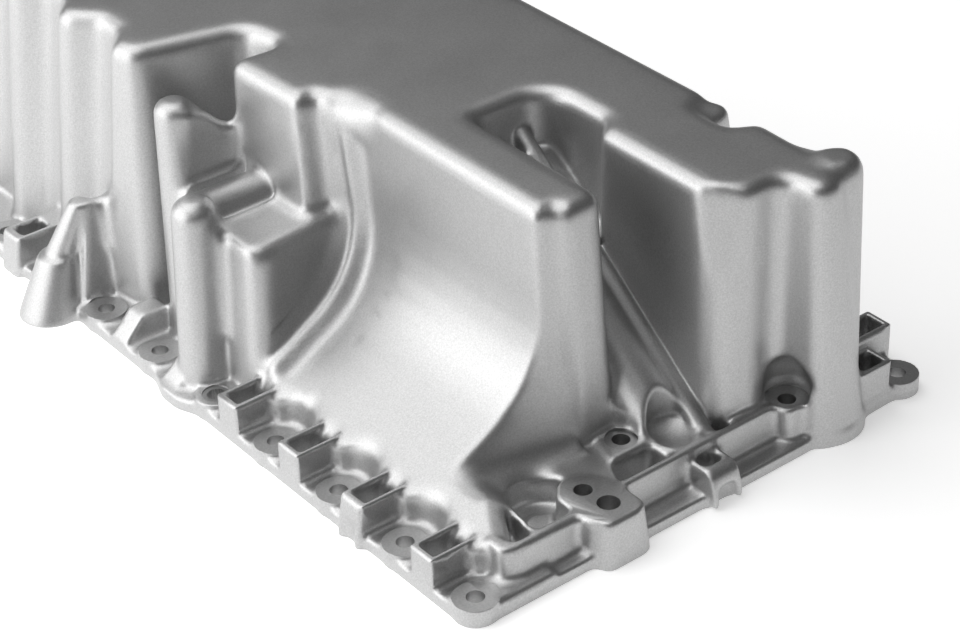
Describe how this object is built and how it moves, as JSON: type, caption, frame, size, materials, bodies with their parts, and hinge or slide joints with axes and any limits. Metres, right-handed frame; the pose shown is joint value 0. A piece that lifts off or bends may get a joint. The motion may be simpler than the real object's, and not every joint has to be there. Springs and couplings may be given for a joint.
{
  "type": "engine oil pan",
  "caption": "Deep cast aluminium engine oil pan on a flat bolt flange, with a stepped, fluted sump block, a concave side sweep, a sloping gallery and a hexagon drain plug.",
  "frame": {"origin": "middle of the four corner bolt holes, on the gasket face", "axes": "+Z from the gasket face towards the sump's bottom, as the pan lies in the picture; +Y along the pan, from the rim with the front bosses to the plain end; +X across it, towards the side with the drain plug"},
  "size_m": [0.243, 0.4225, 0.1158],
  "materials": {
    "cast_aluminium": "satin shot-blasted cast surface",
    "plug_steel": "zinc-plated, satin",
    "washer_aluminium": "plain rolled sheet"
  },
  "bodies": {
    "root": {"oil_pan": "cast_aluminium", "drain_plug": "plug_steel", "drain_washer": "washer_aluminium"}
  },
  "joints": []
}
